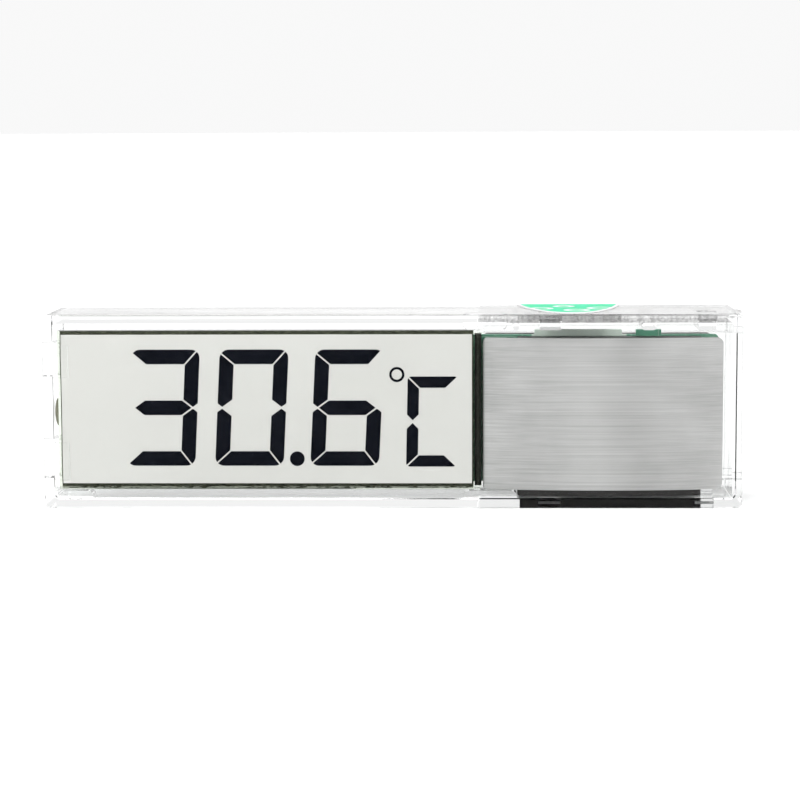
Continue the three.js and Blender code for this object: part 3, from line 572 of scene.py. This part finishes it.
# Millimetres. A character cell: its size, its bars, the slope of its corner joints (as rise over run, named
# by corner), the taper of its middle tips, and how far it leans to the right.
DIGIT = {
    "width": 7.33, "height": 12.45, "bar": 1.55, "stem": 1.54, "radius": 0.95, "gap": 0.15, "lean": 2.95,
    "joint": {"top_left": 0.80, "top_right": 1.17, "bottom_left": 0.94, "bottom_right": 1.22},
    "taper": 0.75, "waist": 0.2, "apex": 0.5, "tip": 0.65,
}
UNIT = {
    "width": 5.35, "height": 9.65, "bar": 1.2, "stem": 1.23, "radius": 0.4, "gap": 0.16, "lean": 1.2,
    "joint": {"top_left": 0.97, "top_right": 0.95, "bottom_left": 0.97, "bottom_right": 0.93},
    "taper": 1.0, "waist": 0.3, "apex": 0.61, "tip": 0.7,
}
READING = [
    (DIGIT, "abcdg", (-24.80, 10.65)),
    (DIGIT, "abcdef", (-15.34, 10.65)),
    (DIGIT, "acdefg", (-5.16, 10.64)),
    (UNIT, "adef", (3.86, 9.15)),
]
POINT = {"place": (-10.53, 5.17), "radius": 0.79}
DEGREE_RING = {"place": (0.13, 14.19), "outer": 0.81, "inner": 0.55}
INK_DEPTH = 0.015
INK_GAP = 0.002


def clip(outline, start, direction):
    """The part of a convex outline that lies to the left of a line."""
    side = [direction[0] * (z - start[1]) - direction[1] * (x - start[0]) for x, z in outline]
    kept = []
    for index, point in enumerate(outline):
        following = (index + 1) % len(outline)
        if side[index] >= 0:
            kept.append(point)
        if side[index] * side[following] < 0:
            share = side[index] / (side[index] - side[following])
            other = outline[following]
            kept.append(tuple(a + (b - a) * share for a, b in zip(point, other)))
    return kept


def rounded_box(width, height, radius, steps=8):
    """Corner points of a rectangle with round corners, anticlockwise."""
    points = []
    for quarter, (side, level) in enumerate(((1, 1), (-1, 1), (-1, -1), (1, -1))):
        for step in range(steps + 1):
            angle = math.pi / 2 * (quarter + step / steps)
            points.append((side * (width / 2 - radius) + radius * math.cos(angle),
                           level * (height / 2 - radius) + radius * math.sin(angle)))
    return points


def segment(cell, letter):
    """The outline of one segment, a to g, round the cell's middle."""
    half_width, half_height = cell["width"] / 2, cell["height"] / 2
    inner_x, inner_z = half_width - cell["stem"], half_height - cell["bar"]
    outline = rounded_box(cell["width"], cell["height"], cell["radius"])
    if letter == "g":
        tip = half_width - cell["tip"]
        rise = cell["bar"] / 2
        run = rise / cell["taper"]
        lower = [(-tip, 0), (-tip + run, -rise), (tip - run, -rise)]
        return lower + [(-x, -z) for x, z in lower]
    level = 1 if letter in "abf" else -1
    row = "top" if level > 0 else "bottom"
    if letter in "ad":
        outline = clip(outline, (0, level * inner_z), (level, 0))
        for side, column in ((-1, "left"), (1, "right")):
            slope = cell["joint"][f"{row}_{column}"]
            length = math.hypot(1, slope)
            start = (side * inner_x, level * (inner_z + cell["gap"] / 2 * length))
            turn = -side * level
            outline = clip(outline, start, (-turn * side, -turn * level * slope))
        return outline
    side, column = (1, "right") if letter in "bc" else (-1, "left")
    outline = clip(outline, (side * inner_x, 0), (0, -side))
    slope = cell["joint"][f"{row}_{column}"]
    start = (side * inner_x, level * (inner_z - cell["gap"] / 2 * math.hypot(1, slope)))
    turn = side * level
    outline = clip(outline, start, (-turn * side, -turn * level * slope))
    apex = (side * (half_width - cell["apex"]), level * cell["waist"] / 2)
    for slope in (cell["taper"], -cell["taper"]):
        outline = clip(outline, apex, (level, slope))
    return outline


def ring(place, radius, steps=40):
    return [(place[0] + radius * math.cos(2 * math.pi * step / steps),
             place[1] + radius * math.sin(2 * math.pi * step / steps)) for step in range(steps)]


def add_plate(mesh, outline, front, back):
    """A flat closed plate with this outline in X and Z, in millimetres."""
    rows = [[mesh.verts.new((x * MM, y * MM, z * MM)) for x, z in outline] for y in (front, back)]
    mesh.faces.new(rows[0])
    mesh.faces.new(list(reversed(rows[1])))
    count = len(outline)
    for index in range(count):
        following = (index + 1) % count
        mesh.faces.new((rows[0][following], rows[0][index], rows[1][index], rows[1][following]))


def add_ring(mesh, place, outer, inner, front, back):
    """A flat closed ring."""
    join_loops(mesh, [[mesh.verts.new((x * MM, y * MM, z * MM)) for x, z in ring(place, radius)]
                      for radius, y in ((outer, front), (inner, front), (inner, back), (outer, back))])


def join_loops(mesh, loops):
    """Faces between each loop and the next, and between the last loop and the first."""
    count = len(loops[0])
    for index in range(count):
        following = (index + 1) % count
        for first, second in zip(loops, loops[1:] + loops[:1]):
            mesh.faces.new((first[index], first[following], second[following], second[index]))


def as_piece(name, mesh, body, material):
    """Finishes a bmesh as a named piece that rides on a body."""
    bmesh.ops.recalc_face_normals(mesh, faces=mesh.faces)
    data = bpy.data.meshes.new(name)
    mesh.to_mesh(data)
    mesh.free()
    data.materials.append(material)
    made = bpy.data.objects.new(name, data)
    bpy.context.collection.objects.link(made)
    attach(made, body)
    return made


def make_segments():
    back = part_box("lcd_front_polariser")[0].y / MM - INK_GAP
    front = back - INK_DEPTH
    mesh = bmesh.new()
    for cell, letters, (centre_x, centre_z) in READING:
        lean = math.tan(math.radians(cell["lean"]))
        for letter in letters:
            outline = segment(cell, letter)
            add_plate(mesh, [(centre_x + x + lean * z, centre_z + z) for x, z in outline], front, back)
    add_plate(mesh, ring(POINT["place"], POINT["radius"]), front, back)
    add_ring(mesh, DEGREE_RING["place"], DEGREE_RING["outer"], DEGREE_RING["inner"], front, back)
    as_piece("lcd_segments", mesh, CASE_BODY, INK)


# Millimetres: from the glass edge to the resin's outer edge, how far the resin runs in under the film, how
# thick it is, and the gap between it and the front glass.
RESIN_MARGIN = {"left": 0.2, "right": 0.03, "bottom": 0.05, "top": 0.04}
RESIN_UNDER_FILM = 0.1
RESIN_DEPTH = 0.014
RESIN_GAP = 0.003


def make_perimeter_seal():
    """The resin frame that joins the two glasses round their edge."""
    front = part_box("lcd_front_glass")[1].y / MM + RESIN_GAP
    back = front + RESIN_DEPTH
    glass_low, glass_high = (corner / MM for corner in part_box("lcd_rear_glass"))
    film_low, film_high = (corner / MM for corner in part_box("lcd_front_polariser"))
    outer = ((glass_low.x + RESIN_MARGIN["left"], glass_low.z + RESIN_MARGIN["bottom"]),
             (glass_high.x - RESIN_MARGIN["right"], glass_high.z - RESIN_MARGIN["top"]))
    inner = ((film_low.x + RESIN_UNDER_FILM, film_low.z + RESIN_UNDER_FILM),
             (film_high.x - RESIN_UNDER_FILM, film_high.z - RESIN_UNDER_FILM))
    mesh = bmesh.new()
    loops = []
    for (low, high), depth in ((outer, front), (inner, front), (inner, back), (outer, back)):
        corners = ((low[0], low[1]), (high[0], low[1]), (high[0], high[1]), (low[0], high[1]))
        loops.append([mesh.verts.new((x * MM, depth * MM, z * MM)) for x, z in corners])
    join_loops(mesh, loops)
    as_piece("lcd_perimeter_seal", mesh, CASE_BODY, PERIMETER)


# --------------------------------------------------------------------------------------------------
# Stage: floor, light and camera
# --------------------------------------------------------------------------------------------------

# Brightness of the studio. It fades from WORLD_FRONT to WORLD_BACK over WORLD_FADE, which is Y of a unit
# direction. PANEL is a soft upright strip in front of the object: its edges are X of the direction, and it
# ends over the pair "fade" of Y. SIDE adds light on the right, over X of the direction.
WORLD_BACK = 1.18
WORLD_FRONT = 0.71
WORLD_FADE = (-0.9, -0.1)
PANEL = {"left": -0.05, "right": 0.05, "soft": 0.04, "fade": (-0.6, -0.3), "added": 1.6}
SIDE = {"fade": (0.15, 0.5), "added": 0.8}

# Metres.
FLOOR_RADIUS = 6.0
FLOOR_DROP = 0.02 * MM
KEY_LAMP = {"place": (-0.25, -0.25, 0.7), "aim": (0, 0, 0), "size": (0.5, 0.5), "watts": 3.0}


def make_floor():
    mesh = bmesh.new()
    bmesh.ops.create_circle(mesh, cap_ends=True, segments=96, radius=FLOOR_RADIUS)
    data = bpy.data.meshes.new("floor")
    mesh.to_mesh(data)
    mesh.free()
    floor = bpy.data.objects.new("floor", data)
    floor.location.z = -FLOOR_DROP
    bpy.context.collection.objects.link(floor)
    paper = Finish("floor_paper")
    tone = paper.noise(paper.place((0.01, 0.01, 0.01)), 1.0, 2)
    paper.link(paper.ramp(tone, [(0.3, (0.94, 0.94, 0.94)), (0.7, (0.955, 0.955, 0.955))]),
               paper.shader.inputs["Base Color"])
    paper.set(roughness=0.9, specular_ior_level=0.1)
    data.materials.append(paper.material)


def make_world():
    """A white tent: bright above and behind, darker in front, with a front panel and a lit right side."""
    world = bpy.data.worlds.new("studio")
    world.use_nodes = True
    tree = world.node_tree
    tree.nodes.clear()
    output = tree.nodes.new("ShaderNodeOutputWorld")
    background = tree.nodes.new("ShaderNodeBackground")
    coordinates = tree.nodes.new("ShaderNodeTexCoord")
    split = tree.nodes.new("ShaderNodeSeparateXYZ")
    tree.links.new(coordinates.outputs["Generated"], split.inputs["Vector"])

    def spread(axis, start, end, low, high):
        mapped = tree.nodes.new("ShaderNodeMapRange")
        mapped.interpolation_type = "SMOOTHSTEP"
        for label, value in (("From Min", start), ("From Max", end), ("To Min", low), ("To Max", high)):
            mapped.inputs[label].default_value = value
        tree.links.new(split.outputs[axis], mapped.inputs["Value"])
        return mapped.outputs["Result"]

    def combine(operation, first, second):
        node = tree.nodes.new("ShaderNodeMath")
        node.operation = operation
        tree.links.new(first, node.inputs[0])
        tree.links.new(second, node.inputs[1])
        return node.outputs["Value"]

    left = spread("X", PANEL["left"] - PANEL["soft"], PANEL["left"] + PANEL["soft"], 0.0, 1.0)
    right = spread("X", PANEL["right"] - PANEL["soft"], PANEL["right"] + PANEL["soft"], 1.0, 0.0)
    ahead = spread("Y", *PANEL["fade"], PANEL["added"], 0.0)
    panel = combine("MULTIPLY", combine("MULTIPLY", left, right), ahead)
    side = spread("X", *SIDE["fade"], 0.0, SIDE["added"])
    tent = spread("Y", *WORLD_FADE, WORLD_FRONT, WORLD_BACK)
    strength = combine("ADD", tent, combine("ADD", panel, side))
    tree.links.new(strength, background.inputs["Strength"])
    tree.links.new(background.outputs["Background"], output.inputs["Surface"])
    world.cycles.sampling_method = "MANUAL"
    world.cycles.sample_map_resolution = 512
    bpy.context.scene.world = world


def soft_light(name, place, aim, size, watts):
    data = bpy.data.lights.new(name, "AREA")
    data.shape = "RECTANGLE"
    data.size, data.size_y = size
    data.energy = watts
    lamp = bpy.data.objects.new(name, data)
    lamp.location = place
    lamp.rotation_mode = "QUATERNION"
    lamp.rotation_quaternion = (Vector(aim) - Vector(place)).to_track_quat("-Z", "Y")
    bpy.context.collection.objects.link(lamp)


# Degrees, metres, and the focal length in millimetres.
CAMERA_AZIMUTH = 1.68
CAMERA_ELEVATION = 6.6
CAMERA_DISTANCE = 0.26
CAMERA_LENS = 110.65
CAMERA_ROLL = -0.24
CAMERA_AIM = (0.5 * MM, cad_low.y, 11.63 * MM)


def make_camera():
    data = bpy.data.cameras.new("camera")
    data.lens = CAMERA_LENS
    data.clip_start = 0.01
    data.clip_end = 20
    camera = bpy.data.objects.new("camera", data)
    azimuth, elevation = math.radians(CAMERA_AZIMUTH), math.radians(CAMERA_ELEVATION)
    back = Vector((math.sin(azimuth) * math.cos(elevation), -math.cos(azimuth) * math.cos(elevation),
                   math.sin(elevation)))
    camera.location = Vector(CAMERA_AIM) + back * CAMERA_DISTANCE
    camera.rotation_mode = "QUATERNION"
    straight = (-back).to_track_quat("-Z", "Y")
    camera.rotation_quaternion = straight @ Quaternion((0, 0, 1), math.radians(CAMERA_ROLL))
    bpy.context.collection.objects.link(camera)
    bpy.context.scene.camera = camera


dress_nodes()
for name, (width, finish) in ROUNDED.items():
    round_edges(name, width, finish)
make_segments()
make_perimeter_seal()
make_floor()
make_world()
soft_light("key", **KEY_LAMP)
make_camera()

# Light is reflected many times inside the clear walls before it leaves them.
LIGHT_BOUNCES = 24
CLEAR_LAYERS = 48

scene = bpy.context.scene
scene.view_settings.view_transform = "Standard"
scene.cycles.max_bounces = LIGHT_BOUNCES
scene.cycles.transmission_bounces = LIGHT_BOUNCES
scene.cycles.glossy_bounces = LIGHT_BOUNCES
scene.cycles.transparent_max_bounces = CLEAR_LAYERS
scene.cycles.caustics_refractive = True
scene.cycles.caustics_reflective = True
